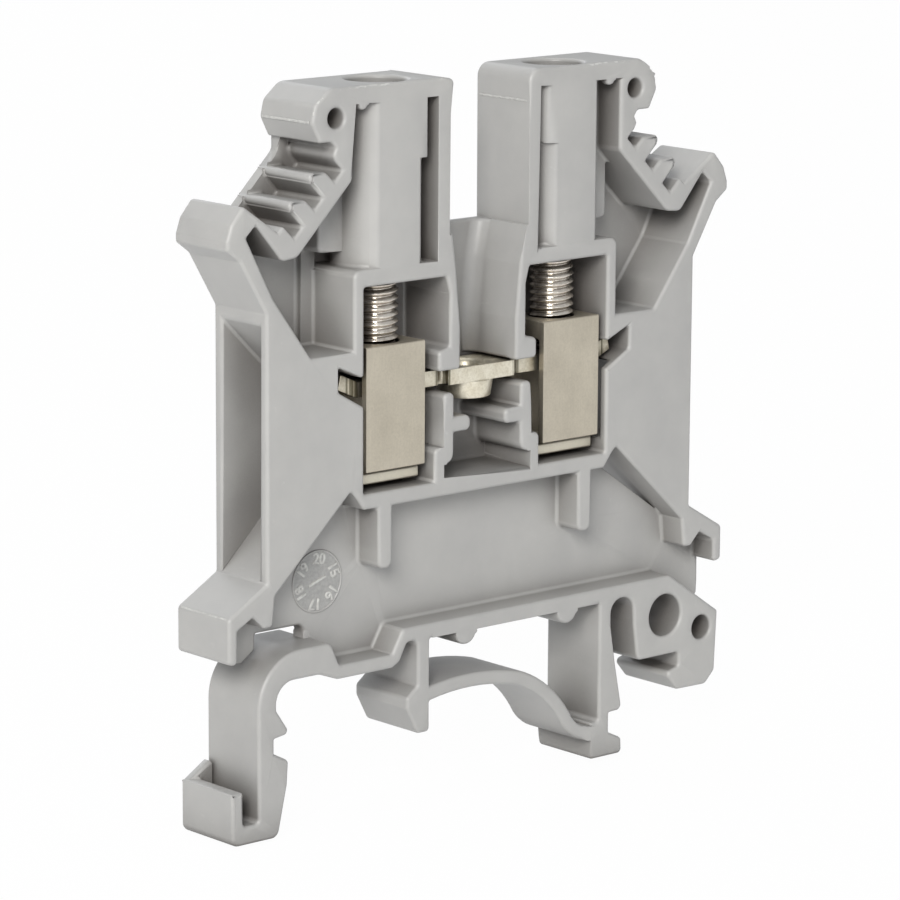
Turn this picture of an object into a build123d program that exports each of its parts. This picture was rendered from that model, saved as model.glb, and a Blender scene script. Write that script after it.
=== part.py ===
"""Feed-through terminal block for a 35 mm mounting rail.

One moulded housing, open on the side that faces -Y, carries two screw clamps
joined by a current bar. Each clamp is a folded sheet sleeve, open along X for
the wire, on a captive slotted screw. The screw turns in the housing, its tip
above the bar, and pulls the sleeve up, so that the wire is squeezed against
the underside of the bar. Millimetres, +Z up, origin under the middle of the
block at the height of the hook's lower face, screws at +X and -X.
"""
import math
import os

from build123d import *

os.makedirs("parts", exist_ok=True)

# Driving sizes of the moulding

length = 42.5
floor_z = 21.0
pole_spacing = 15.0
web = 0.75
wall = 0.85
plate = 0.7
floor_thickness = 1.0
chamber_height = 13.15
chamber_inner_reach = 4.25
divider = 0.9
valley_flare = 1.0
valley_rise = 2.65
cell_round = 1.0

# Sizes of the screw towers

tower_height = 11.6
boss_wall = 0.9
cap_height = 1.15
seat_thickness = 1.05
slot_land = 0.95
shoulder_reach = 0.38
shoulder_drop = 4.9
nub_radius = 0.4
block_front = 2.25
block_width = 1.9
step_rise = 0.45

# Sizes of the wire funnels, the flanges and the wings

flange_reach = 3.05
flange_drop = 1.8
mouth_drop = 4.6
mouth_rise = 11.7
throat_length = 2.3
throat_step = 1.0
lip_thickness = 0.75
lip_height = 2.3
left_lip_longer = 0.55
wing_height = 3.4
wing_drop = 6.65
wing_gap = 2.1

# Sizes of the marker holders

nose_reach = 3.3
nose_height = 3.35
nose_hole_diameter = 1.25
nose_hole_inset = 1.95
arm_offset = 0.1
arm_drop = 5.85
arm_thickness = 1.05
rib_height = 1.85
rib_pitch = 2.27
rib_width = 1.33
rib_tip = 0.9
first_rib = 1.0
last_ledge = 1.25

# Sizes of the rail foot

rail_width = 35.0
rail_shift = -0.1
groove_low = 5.45
groove_high = 6.4
catch_reach = 1.05
hook_wall = 1.3
tab_reach = 3.4
tab_height = 3.4
tab_wall = 0.8
beam_top = 11.85
beam_thickness = 0.97
lower_web = 1.05
lower_web_depth = 2.1
post_reach = 11.75
post_thickness = 1.05
foot_inset = 7.35
foot_width = 2.9
leaf_thickness = 0.95
leaf_rise = 7.52
large_hole_diameter = 2.86
small_hole_diameter = 1.64

# Sizes of the metal parts

bar_lift = 6.0
bar_thickness = 1.0
bar_end_reach = 4.15
bar_bend = 1.5
bar_rise = 0.65
bar_inset = 0.325
bar_notch = 0.35
notch_inset = 0.18
collar_diameter = 3.74
collar_taper = 0.17
collar_drop = 1.15
bridge_hole_diameter = 2.5
hole_sink = 0.25
sleeve_width = 4.85
sleeve_sheet = 0.5
sleeve_base = 0.75
sleeve_head = 1.2
sleeve_gap = 1.05
screw_diameter = 2.9
head_diameter = 3.6
head_height = 2.2
slot_width = 0.7
slot_depth = 1.1
head_bevel = 0.2
tip_bevel = 0.3

# Clearances

bar_play = 0.05
bar_side_play = 0.25
end_play = 0.75
floor_play = 0.35
front_play = 0.35
back_play = 0.05
divider_play = 0.35
wall_play = 0.075
throat_play = 0.1
thread_play = 0.05
shank_play = 0.1
head_play = 0.15
tip_play = 0.05
seat_play = 0.05

# Depths worked out from the sizes, counted from the open face

sleeve_depth = screw_diameter + 2 * wall_play + 2 * sleeve_sheet
chamber_depth = front_play + sleeve_depth + back_play
thickness = chamber_depth + web
open_y = -thickness / 2
axis_depth = front_play + sleeve_depth / 2
axis_y = open_y + axis_depth
bar_width = sleeve_depth - 2 * bar_inset
bar_end_width = sleeve_depth - 2 * sleeve_sheet - 2 * bar_side_play

# Heights worked out from the sizes

chamber_top = floor_z + chamber_height
seat_z = chamber_top + seat_thickness
height = seat_z + tower_height
cap_z = height - cap_height
nose_z = height - nose_height
arm_z = height - arm_drop
wing_z = height - wing_drop
valley_z = chamber_top + valley_rise
bar_low = floor_z + bar_lift
bar_top = bar_low + bar_thickness
slot_high = bar_top + 2 * bar_play
divider_top = bar_low - divider_play
mouth_low = floor_z - mouth_drop
mouth_high = floor_z + mouth_rise
lip_low = mouth_low - flange_drop - lip_height
throat_low = floor_z + throat_step
throat_high = bar_low - throat_play
beam_low = beam_top - beam_thickness

# Places along the block worked out from the sizes, the same on both sides

half_length = length / 2
screw_x = pole_spacing / 2
bore_radius = head_diameter / 2 + head_play
boss_radius = bore_radius + boss_wall
boss_flat = math.sqrt(boss_radius**2 - axis_depth**2)
chamber_in = screw_x - chamber_inner_reach
chamber_out = screw_x + boss_radius
chamber_side = chamber_out + wall
cell_x = chamber_in - divider
valley_x = cell_x + valley_flare
land_x = valley_x + slot_land
plate_x = half_length - flange_reach
arm_x = chamber_side + arm_offset
nose_x = arm_x + nose_reach
bar_end = screw_x + bar_end_reach
bend_x = bar_end - bar_bend
waist_x = chamber_in - notch_inset
recess_x = bar_end + end_play
hook_x = rail_shift - rail_width / 2
catch_x = rail_shift + rail_width / 2
post_x = hook_x + post_reach
foot_x = catch_x - foot_inset

# The arm of a marker holder slopes at 45 degrees and has as many ribs as fit it

arm_run = (plate_x - wing_gap - arm_x) * math.sqrt(2) - arm_thickness
rib_count = max(0, int((arm_run - first_rib) / rib_pitch))
arm_end = first_rib + rib_count * rib_pitch
vee_x = arm_x + (arm_end + arm_thickness) * math.sqrt(0.5)
vee_z = arm_z - (arm_end - arm_thickness) * math.sqrt(0.5)


def at_depth(depth):
    """Sketch plane parallel to the open face, this far behind it."""
    return Plane.XZ.offset(-(open_y + depth))


def outline(*corners, mode=Mode.ADD):
    """Face in the sketch at hand, from corners given as x, z and radius."""
    with BuildLine() as edge:
        FilletPolyline(
            *[(x, z) for x, z, radius in corners],
            radius=[radius for x, z, radius in corners],
            close=True,
        )
    make_face(edge.edges(), mode=mode)


def on_arm(run, rise, radius=0.0):
    """Corner on the sloping arm of a marker holder, from its upper inner end."""
    step = math.sqrt(0.5)
    return (arm_x + (run + rise) * step, arm_z - (run - rise) * step, radius)


def arm_ribs():
    """Corners along the arm's outer face: each rib has a level top and a plumb front."""
    corners = []
    for number in range(rib_count):
        start = first_rib + rib_pitch * number
        end = start + rib_width
        tip = arm_thickness + rib_height
        corners += [
            on_arm(start, arm_thickness),
            on_arm(start, tip - rib_tip),
            on_arm(start + rib_tip, tip, 0.15),
            on_arm(end, tip - rib_width + rib_tip, 0.15),
            on_arm(end, arm_thickness),
        ]
    return corners


with BuildPart() as housing:
    # Towers, marker holders, funnels and flanges in one outline
    with BuildSketch(at_depth(0)):
        outline(
            (0, valley_z, 0),
            (valley_x, valley_z, 0),
            (valley_x, height, 0.9),
            (nose_x - 1.45, height, 1.0),
            (nose_x - 0.25, height - 1.0, 0.7),
            (nose_x, height - 2.1, 0.5),
            (nose_x - 0.65, nose_z, 0.25),
            (nose_x - 1.65, nose_z, 0),
            (nose_x - 1.95, nose_z - 0.4, 0.15),
            (nose_x - 1.7, nose_z - 0.85, 0),
            (nose_x - 1.95, nose_z - 1.25, 0),
            on_arm(0.05, arm_thickness),
            *arm_ribs(),
            on_arm(arm_end, arm_thickness),
            on_arm(arm_end, arm_thickness + last_ledge, 0),
            on_arm(arm_end + 0.55, arm_thickness + last_ledge, 0),
            (half_length - 1.3, wing_z, 0.3),
            (half_length - 0.35, wing_z - 1.1, 0.5),
            (half_length, wing_z - 2.1, 0.3),
            (half_length, wing_z - 2.65, 0.3),
            (half_length - 1.0, wing_z - wing_height, 0.5),
            (plate_x, mouth_high + 0.6, 0.4),
            (plate_x, mouth_low, 0.2),
            (half_length, mouth_low - flange_drop, 0.4),
            (half_length, lip_low, 0.3),
            (half_length - lip_thickness, lip_low - 0.2, 0.3),
            (half_length - lip_thickness, mouth_low - 2.65, 0),
            (half_length - 2.0, mouth_low - 1.95, 0),
            (plate_x + 0.2, mouth_low - 2.8, 0.3),
            (plate_x - 0.5, mouth_low - 2.8, 0.3),
            (plate_x - 0.7, mouth_low - 0.85, 0.3),
            (chamber_side + 0.2, floor_z + 0.3, 0.2),
            (chamber_side - 0.2, floor_z - 0.1, 0.3),
            (chamber_side - 0.9, floor_z - floor_thickness, 0.3),
            (0, floor_z - floor_thickness, 0),
        )
        mirror(about=Plane.YZ)
    extrude(amount=-thickness)

    # Rail foot: hook, beam with its posts, sprung foot and catch block
    with BuildSketch(at_depth(0)):
        outline(
            (hook_x - tab_reach, 0, 0.55),
            (hook_x + 0.3, 0, 0.6),
            (hook_x + catch_reach, groove_low - 2.15, 1.2),
            (hook_x + catch_reach + 0.1, groove_low - 0.6, 0.35),
            (hook_x, groove_low, 0.1),
            (hook_x, groove_high, 0.1),
            (hook_x + catch_reach + 0.25, groove_high + 0.2, 0.3),
            (hook_x + 0.2, groove_high + 1.8, 0.4),
            (hook_x + 0.2, beam_top - 1.9, 1.4),
            (hook_x + 3.7, beam_top - 1.9, 1.4),
            (hook_x + 5.2, beam_top - 2.45, 0.9),
            (post_x - 2.05, beam_top - 2.45, 0.5),
            (post_x - 1.45, beam_top - 2.1, 0.4),
            (post_x - 0.85, beam_low + 0.02, 0.35),
            (post_x, beam_low + 0.02, 0.4),
            (post_x, leaf_rise + 0.4, 0.3),
            (post_x - 0.9, leaf_rise - 0.3, 0.35),
            (post_x - 0.9, leaf_rise - 1.0, 0.5),
            (post_x + 0.05, leaf_rise - 2.8, 0.35),
            (post_x + post_thickness, leaf_rise - 2.8, 0.3),
            (post_x + post_thickness, beam_low, 0.2),
            (foot_x, beam_low, 0.2),
            (foot_x, 2.8, 0.3),
            (foot_x - 0.7, 2.8, 0.2),
            (foot_x - 0.7, 0.3, 0.3),
            (foot_x - 0.7 + foot_width, 0.3, 0.35),
            (foot_x - 0.75 + foot_width, 1.35, 0.3),
            (foot_x - 1.9 + foot_width, 1.9, 0.2),
            (foot_x - 1.9 + foot_width, 3.25, 0.1),
            (foot_x - 0.7 + foot_width, 3.3, 0.4),
            (foot_x + 1.55, groove_high + 0.1, 3.0),
            (foot_x + 1.1, beam_top - 2.65, 1.0),
            (foot_x + 1.1, beam_low + 0.05, 0.95),
            (foot_x + 3.05, beam_low + 0.05, 0.9),
            (foot_x + 3.15, groove_high + 2.6, 1.0),
            (foot_x + 3.5, groove_high, 0.5),
            (catch_x, groove_high, 0.25),
            (catch_x, groove_low, 0.25),
            (catch_x - catch_reach - 0.15, groove_low - 0.35, 0.3),
            (catch_x - 0.1, groove_low - 1.65, 0.4),
            (catch_x + 2.6, groove_low - 1.7, 0.6),
            (catch_x + 3.45, groove_low - 0.85, 0.5),
            (catch_x + 3.65, beam_top - 3.1, 0.3),
            (catch_x - 0.9, beam_top, 0.6),
            (post_x - 1.25, beam_top, 0.4),
            (post_x - 2.15, beam_top - 1.55, 0.2),
            (hook_x + 5.3, beam_top - 1.55, 0.4),
            (hook_x + 4.6, beam_top, 0.5),
            (hook_x - hook_wall, beam_top, 3.5),
            (hook_x - hook_wall, 1.2, 0.3),
            (hook_x - 2.5, 1.2, 0.3),
            (hook_x - 2.5, tab_height, 0.1),
            (hook_x - tab_reach, tab_height, 0.1),
        )
        # Leaf spring that presses the rail into the grooves
        with BuildLine() as leaf:
            ThreePointArc(
                (post_x + 0.55, leaf_rise - 0.42),
                (post_x + 4.95, leaf_rise),
                (foot_x - 7.05, leaf_rise - 0.57),
            )
            ThreePointArc(
                (foot_x - 7.05, leaf_rise - 0.57),
                (foot_x - 4.45, leaf_rise - 2.12),
                (foot_x - 2.75, leaf_rise - 4.22),
            )
            ThreePointArc(
                (foot_x - 2.75, leaf_rise - 4.22),
                (foot_x - 1.75, leaf_rise - 5.1),
                (foot_x + 0.35, leaf_rise - 5.27),
            )
        trace(leaf.edges(), line_width=leaf_thickness)
        # Half-round stops under the beam
        with Locations((post_x + 4.15, beam_low), (foot_x - 2.9, beam_low)):
            Circle(0.9)
    extrude(amount=-thickness)

    # Web that carries the rail foot, with the slot above the hook
    with BuildSketch(at_depth(lower_web_depth)):
        outline(
            (0.7 - chamber_side, floor_z - 0.5, 0),
            (chamber_side - 0.7, floor_z - 0.5, 0),
            (plate_x - 0.9, mouth_low - 0.6, 0),
            (half_length - 0.4, mouth_low - 2.2, 0),
            (catch_x + 3.7, beam_top - 2.2, 0.3),
            (catch_x + 3.3, beam_top - 2.8, 0.1),
            (catch_x - 1.1, beam_top - 0.4, 0),
            (post_x - 1.0, beam_top - 0.4, 0),
            (post_x - 2.0, beam_top - 1.9, 0),
            (hook_x + 5.0, beam_top - 1.9, 0),
            (hook_x + 4.0, beam_top - 0.4, 0),
            (hook_x + 4.0, beam_top + 0.9, 0.5),
            (hook_x + 0.15, beam_top + 0.9, 0),
            (hook_x + 0.15, beam_top - 0.15, 0),
            (hook_x - 0.9, beam_top - 0.85, 0.2),
            (hook_x - 1.8, beam_top - 0.7, 0.3),
            (hook_x - 3.0, beam_top, 0),
            (0.4 - half_length, mouth_low - 2.2, 0),
            (0.9 - plate_x, mouth_low - 0.6, 0),
        )
    extrude(amount=-lower_web)

    # Wall that closes the hook's tab at the back
    with BuildSketch(at_depth(thickness - tab_wall)):
        outline(
            (hook_x - tab_reach, 0.6, 0),
            (hook_x - hook_wall - 0.2, 0.6, 0),
            (hook_x - hook_wall - 0.2, tab_height + 1.1, 0),
            (hook_x - tab_reach, tab_height - 0.1, 0),
        )
    extrude(amount=-tab_wall)

    # Web behind the ribs of the marker holders, and the ribs under the floor
    with BuildSketch(at_depth(chamber_depth)):
        outline(
            on_arm(-0.1, 0.5),
            (nose_x - 1.75, nose_z + 0.3, 0),
            (nose_x - 0.95, nose_z + 0.3, 0),
            on_arm(0.5, arm_thickness + rib_height - 0.1),
            on_arm(arm_end + 0.5, arm_thickness + rib_height - 0.1),
            on_arm(arm_end + 0.5, 0.5),
        )
        mirror(about=Plane.YZ)
    extrude(amount=-web)
    with BuildSketch(at_depth(0)):
        outline(
            (screw_x + 0.5, floor_z - 0.5, 0),
            (screw_x + 1.65, floor_z - 0.5, 0),
            (screw_x + 1.65, floor_z - 5.0, 0.5),
            (screw_x + 0.5, floor_z - 5.0, 0.5),
        )
        mirror(about=Plane.YZ)
    extrude(amount=-lower_web_depth)

    # Pockets open to the front
    with BuildSketch(at_depth(0)):
        # Beside the tower, down the arm and the wing
        outline(
            (screw_x + boss_flat, cap_z, 0),
            (arm_x, cap_z, 0),
            (arm_x, arm_z, 0.6),
            (vee_x - 0.25, arm_x + arm_z - vee_x + 0.25, 0.9),
            (vee_x + 0.95, vee_z - 1.35, 0.6),
            (plate_x + 0.75, wing_z - 1.3, 0),
            (plate_x + 1.5, wing_z - 2.0, 0),
            (plate_x - 0.6, mouth_high + 1.5, 2.0),
            (plate_x - 3.6, mouth_high - 2.55, 0.4),
            (chamber_side, mouth_high - 2.55, 0),
            (chamber_side, chamber_top + 1.1, 0.5),
            (screw_x + boss_flat, chamber_top + 1.1, 0),
        )
        # Clamp chamber, with the recess for the end of the bar
        outline(
            (chamber_in + 0.3, chamber_top, 0.2),
            (chamber_out, chamber_top, 0.2),
            (chamber_out, bar_top + 0.4, 0.2),
            (recess_x, bar_top + bar_rise + 0.65, 0),
            (recess_x, bar_top - 0.25, 0),
            (chamber_out + 0.45, bar_low - 0.15, 0.2),
            (chamber_out, bar_low - 0.4, 0.2),
            (chamber_out, floor_z, 0.2),
            (chamber_in + 1.25, floor_z, 0),
            (chamber_in + 1.25, floor_z + 2.2, 0.4),
            (chamber_in + 0.5, floor_z + 2.2, 0),
            (chamber_in + 0.5, divider_top, 0.35),
            (chamber_in - 0.1, divider_top, 0),
            (chamber_in - 0.1, slot_high, 0),
            (chamber_in + 0.95, slot_high, 0.3),
            (chamber_in + 0.95, bar_top + 1.4, 0.35),
            (chamber_in, bar_top + 1.6, 0),
            (chamber_in, chamber_top - 1.1, 0.3),
        )
        # Half of the cell between the two clamps
        outline(
            (0, valley_z + 0.8, 0),
            (valley_x, valley_z + 0.8, 0),
            (cell_x + 0.35, valley_z - 2.4, 3.0),
            (cell_x, valley_z - 6.0, 2.0),
            (cell_x, slot_high, 0),
            (chamber_in, slot_high, 0),
            (chamber_in, divider_top, 0),
            (cell_x + 0.5, divider_top, 0.35),
            (cell_x + 0.5, floor_z + 4.05, 0),
            (cell_x - 0.9, floor_z + 4.05, 0.4),
            (cell_x - 0.9, floor_z + 3.05, 0.4),
            (cell_x + 0.5, floor_z + 3.05, 0),
            (cell_x + 0.5, floor_z + 1.05, 0.7),
            (cell_x + 1.35, floor_z + 1.05, 0),
            (cell_x + 1.35, floor_z, 0),
            (0, floor_z, 0),
        )
        mirror(about=Plane.YZ)
    extrude(amount=-chamber_depth, mode=Mode.SUBTRACT)
    # The walls of the middle cell run into its back in a wide rounding
    back_y = open_y + chamber_depth
    cell_walls = [
        edge
        for edge in housing.edges().filter_by_position(Axis.Y, back_y - 0.01, back_y + 0.01)
        if cell_x - 0.01 < abs(edge.center().X) < chamber_in - 0.1
        and slot_high < edge.center().Z < valley_z
    ]
    fillet(cell_walls, cell_round)

    # Wire funnels behind the front plate
    with BuildSketch(at_depth(plate)):
        outline(
            (plate_x + 0.1, mouth_low, 0),
            (plate_x + 0.1, mouth_high, 0),
            (chamber_out + throat_length, throat_high + 0.2, 0.8),
            (chamber_out - 0.1, throat_high, 0),
            (chamber_out - 0.1, throat_low, 0),
            (chamber_out + throat_length, throat_low - 0.1, 0.8),
        )
        mirror(about=Plane.YZ)
    extrude(amount=plate - chamber_depth, mode=Mode.SUBTRACT)

    # Boss round each screw bore, between the seat and the cap
    with BuildSketch(Plane.XY.offset(chamber_top + 1.0)):
        with Locations((-screw_x, axis_y), (screw_x, axis_y)):
            Circle(boss_radius)
        with Locations((0, open_y - length / 2), (0, open_y + chamber_depth + length / 2)):
            Rectangle(length, length, mode=Mode.SUBTRACT)
    extrude(amount=cap_z - chamber_top - 1.0)

    # Block between the boss and the arm, and the low step under it
    with BuildSketch(at_depth(block_front)):
        outline(
            (chamber_out - 0.2, arm_z - 4.75, 0),
            (chamber_out + block_width, arm_z - 4.75, 0.4),
            (chamber_out + block_width, arm_z - 0.4, 0),
            (arm_x + 0.1, arm_z + 0.2, 0),
            (arm_x + 0.1, cap_z + 0.1, 0),
            (chamber_out - 0.2, cap_z + 0.1, 0),
        )
        mirror(about=Plane.YZ)
    extrude(amount=block_front - thickness)
    with BuildSketch(at_depth(chamber_depth - step_rise)):
        outline(
            (chamber_side - 0.1, mouth_high - 2.65, 0),
            (chamber_side + 1.05, mouth_high - 2.65, 0),
            (chamber_side + 1.05, arm_z - 4.1, 0),
            (chamber_side - 0.1, arm_z - 4.1, 0),
        )
        mirror(about=Plane.YZ)
    extrude(amount=-step_rise - web)

    # Slots in the front of the towers, between the inner wall and the round boss
    shoulder_z = height - shoulder_drop
    for low, high, radius in (
        (seat_z, shoulder_z, boss_radius),
        (shoulder_z, cap_z, boss_radius + shoulder_reach),
    ):
        with BuildSketch(Plane.XY.offset(low)):
            with Locations(((land_x + screw_x) / 2, (open_y + axis_y) / 2)):
                Rectangle(screw_x - land_x, axis_depth)
            with Locations((screw_x, axis_y)):
                Circle(radius, mode=Mode.SUBTRACT)
            mirror(about=Plane.YZ)
        extrude(amount=high - low, mode=Mode.SUBTRACT)

    # Bore for the screwdriver and the head, and the hole of the seat
    with Locations((-screw_x, axis_y, height), (screw_x, axis_y, height)):
        CounterBoreHole(
            radius=screw_diameter / 2 + shank_play,
            counter_bore_radius=bore_radius,
            counter_bore_depth=tower_height,
            depth=tower_height + seat_thickness + 0.5,
        )

    # Pin holes through the marker holders and the catch block
    hole_places = (nose_x - nose_hole_inset, height - 1.9)
    with BuildSketch(at_depth(0)):
        with Locations(hole_places, (-hole_places[0], hole_places[1])):
            Circle(nose_hole_diameter / 2)
        with Locations((catch_x - 1.3, beam_top - 2.7)):
            Circle(large_hole_diameter / 2)
        with Locations((catch_x + 2.1, beam_top - 4.05)):
            Circle(small_hole_diameter / 2)
    extrude(amount=-thickness, mode=Mode.SUBTRACT)

    # Half-round stop under the cap beside each boss
    with BuildSketch(at_depth(0)):
        with Locations((-arm_x + 0.85, cap_z), (arm_x - 0.85, cap_z)):
            Circle(nub_radius)
    extrude(amount=-plate)

    # Only on the left: an overhang at the tower's inner corner, and a longer lip on the flange
    with BuildSketch(at_depth(0)):
        outline(
            (-valley_x - 0.8, height - 0.3, 0),
            (-valley_x - 0.6, height, 0),
            (-valley_x + 0.4, height - 0.15, 0.4),
            (-valley_x, height - 2.3, 0),
            (-valley_x - 0.3, height - 2.3, 0),
        )
        outline(
            (-half_length, lip_low + 1.0, 0),
            (-half_length, lip_low - left_lip_longer, 0.3),
            (lip_thickness - half_length, lip_low - left_lip_longer - 0.2, 0.3),
            (lip_thickness - half_length, lip_low + 1.0, 0),
        )
    extrude(amount=-thickness)

    # Only on the right: the marker holder's nose is set back above its parting line
    with BuildSketch(at_depth(0)):
        outline(
            (nose_x - 1.0, height + 0.1, 0),
            (nose_x - 0.65, height - 0.9, 0),
            (nose_x + 0.1, height - 1.15, 0),
            (nose_x + 0.1, height + 0.1, 0),
        )
    extrude(amount=-thickness, mode=Mode.SUBTRACT)

housing.part.label = "housing"
export_step(housing.part, "parts/housing.step")

# Clamp sleeves, each one folded sheet with the screw's thread in its top

sleeve_front = open_y + front_play
sleeve_back = sleeve_front + sleeve_depth
sleeve_low = floor_z + floor_play
sleeve_foot = sleeve_low + sleeve_base
sleeve_ceiling = bar_top + sleeve_gap
sleeve_high = sleeve_ceiling + sleeve_head

for side, name in ((-1, "left"), (1, "right")):
    with BuildPart() as sleeve:
        # Seen along X as y, z: the free front wall, over the top, down the back, under the wire
        with BuildSketch(Plane.YZ.offset(side * screw_x)):
            outline(
                (sleeve_front, sleeve_foot + 0.15, 0),
                (sleeve_front, sleeve_high, 0.6),
                (sleeve_back, sleeve_high, 0.6),
                (sleeve_back, sleeve_low, 0.6),
                (sleeve_front + sleeve_sheet + 0.1, sleeve_low, 0.15),
                (sleeve_front + sleeve_sheet + 0.1, sleeve_foot, 0.15),
                (sleeve_back - sleeve_sheet, sleeve_foot, 0.15),
                (sleeve_back - sleeve_sheet, sleeve_ceiling, 0.15),
                (sleeve_front + sleeve_sheet, sleeve_ceiling, 0.15),
                (sleeve_front + sleeve_sheet, sleeve_foot + 0.15, 0),
            )
        extrude(amount=sleeve_width / 2, both=True)
        with Locations((side * screw_x, axis_y, sleeve_high)):
            Hole(radius=screw_diameter / 2 + thread_play, depth=sleeve_head + 0.5)
    sleeve.part.label = f"{name}_clamp_sleeve"
    export_step(sleeve.part, f"parts/{name}_clamp_sleeve.step")

# Clamp screws, their heads on the seats of the towers and their tips just above the bar

screw_tip = bar_top + tip_play
head_low = seat_z + seat_play

for side, name in ((-1, "left"), (1, "right")):
    with BuildPart() as screw:
        with BuildSketch(Plane.XY.offset(screw_tip)):
            with Locations((side * screw_x, axis_y)):
                Circle(screw_diameter / 2)
        extrude(amount=head_low - screw_tip)
        chamfer(screw.edges().group_by(Axis.Z)[0], tip_bevel)
        with BuildSketch(Plane.XY.offset(head_low)):
            with Locations((side * screw_x, axis_y)):
                Circle(head_diameter / 2)
        extrude(amount=head_height)
        chamfer(screw.edges().group_by(Axis.Z)[-1], head_bevel)
        with BuildSketch(Plane.XY.offset(head_low + head_height)):
            with Locations((side * screw_x, axis_y)):
                Rectangle(head_diameter + 1, slot_width)
        extrude(amount=-slot_depth, mode=Mode.SUBTRACT)
    screw.part.label = f"{name}_clamp_screw"
    export_step(screw.part, f"parts/{name}_clamp_screw.step")

# Current bar with its drawn collar, its ends bent up over the funnels

with BuildPart() as current_bar:
    with BuildSketch(Plane.XZ.offset(-axis_y)):
        outline(
            (0, bar_low, 0),
            (bend_x, bar_low, 1.0),
            (bar_end, bar_low + bar_rise, 0.1),
            (bar_end - 0.25, bar_top + bar_rise, 0.1),
            (bend_x - 0.2, bar_top, 0.5),
            (0, bar_top, 0),
        )
        mirror(about=Plane.YZ)
    extrude(amount=bar_width / 2, both=True)
    # Beyond the dividers the bar is narrower, with a round notch in its front edge before the step
    notch_y = -(bar_end_width + bar_notch) / 2
    with BuildSketch(Plane.XY.offset(bar_low - 1)):
        with Locations((0, axis_y)):
            with GridLocations(waist_x + bar_end, bar_width, 2, 2):
                Rectangle(bar_end - waist_x, bar_width - bar_end_width)
            with Locations((-waist_x, notch_y), (waist_x, notch_y)):
                Circle(bar_notch)
    extrude(amount=bar_thickness + bar_rise + 2, mode=Mode.SUBTRACT)
    # Drawn collar for the thread of a bridging screw, its hole countersunk at the top
    with Locations((0, axis_y, bar_low - collar_drop)):
        Cone(
            bottom_radius=collar_diameter / 2 - collar_taper,
            top_radius=collar_diameter / 2,
            height=collar_drop,
            align=(Align.CENTER, Align.CENTER, Align.MIN),
        )
    with Locations((0, axis_y, bar_top)):
        CounterSinkHole(
            radius=bridge_hole_diameter / 2,
            counter_sink_radius=bridge_hole_diameter / 2 + hole_sink,
            depth=bar_thickness + collar_drop,
        )

current_bar.part.label = "current_bar"
export_step(current_bar.part, "parts/current_bar.step")
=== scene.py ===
"""Looks of the feed-through terminal block: moulded housing, plated clamps and bar, and the studio.

The frame gives every part its place. Lengths are in metres, and MM turns millimetres into them.
The open side faces -Y, and the screw heads point to +Z.
"""
import math
import random

import bmesh
import bpy
from mathutils import Matrix, Vector
from mathutils.geometry import delaunay_2d_cdt


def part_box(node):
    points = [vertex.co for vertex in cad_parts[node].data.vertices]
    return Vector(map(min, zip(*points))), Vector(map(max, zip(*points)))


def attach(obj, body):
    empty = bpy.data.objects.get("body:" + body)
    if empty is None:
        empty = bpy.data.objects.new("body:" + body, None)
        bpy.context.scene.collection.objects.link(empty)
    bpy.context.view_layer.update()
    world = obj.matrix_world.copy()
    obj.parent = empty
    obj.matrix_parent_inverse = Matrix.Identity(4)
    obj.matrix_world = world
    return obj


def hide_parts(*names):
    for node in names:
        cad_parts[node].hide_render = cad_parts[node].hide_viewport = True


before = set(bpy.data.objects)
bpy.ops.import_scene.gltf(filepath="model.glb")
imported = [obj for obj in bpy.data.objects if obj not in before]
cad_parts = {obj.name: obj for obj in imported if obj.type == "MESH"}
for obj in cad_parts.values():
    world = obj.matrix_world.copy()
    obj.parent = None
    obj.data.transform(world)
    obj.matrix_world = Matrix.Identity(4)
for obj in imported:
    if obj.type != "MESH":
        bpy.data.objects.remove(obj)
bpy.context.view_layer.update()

bl_info = {
    "name": "Terminal Block Looks",
    "version": (1, 0, 0),
    "blender": (4, 5, 0),
    "location": "View3D > Sidebar > Terminal Block",
    "description": "Dresses a rail-mounted terminal block and sets up its studio",
    "category": "Object",
}

MM = 0.001
HOUSING_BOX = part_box("housing")
SLEEVE_BOX = {side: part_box(f"{side}_clamp_sleeve") for side in ("left", "right")}
SCREW_BOX = {side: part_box(f"{side}_clamp_screw") for side in ("left", "right")}
BAR_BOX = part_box("current_bar")

# The photograph's view: where its camera stood, which way it looked, and its lens
CAMERA_PLACE_MM = (-185.935, -210.418, 79.199)
CAMERA_AZIMUTH = math.radians(-41.248)
CAMERA_ELEVATION = math.radians(11.591)
CAMERA_ROLL = math.radians(0.339)
CAMERA_LENS = 177.53
CAMERA_SHIFT = (0.0059, 0.0089)

# The worn front edge of a tower's top: distances from the middle and heights, in millimetres
BROW_MM = ((14.42, 45.2), (14.15, 45.85), (13.45, 46.38), (12.6, 46.64), (11.4, 46.69), (8.0, 46.69))

# A ridge of flash in section, as shares of its width and height, how much its height varies and
# what is left of it at its ends, and the way that the flanges' sloping edges face, outward and up
RIDGE_SECTION = ((-0.5, -0.3), (-0.28, 0.8), (0.28, 0.8), (0.5, -0.3))
RIDGE_HEIGHTS = (0.55, 1.0)
RIDGE_END = 0.3
FLANGE_SLOPE = (0.868, 0.496)

# The dial: its figures, one step apart, with the last of them a little to the right of its top, and
# how far its pointer is turned from level
FIGURES = range(15, 21)
FIGURE_STEP = math.radians(60)
FIGURE_LEAN = math.radians(7)
POINTER_TURN = math.radians(20)

# Rounding of a mesh: the turn that still counts as flat, the turn in degrees from which an edge left
# sharp gets a narrow rounding, its share of the full width, and the corners that a face may keep
FLAT_TURN = math.radians(1.0)
LEFT_SHARP = 50.0
NARROW_SHARE = 0.16
MOST_CORNERS = 8

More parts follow.
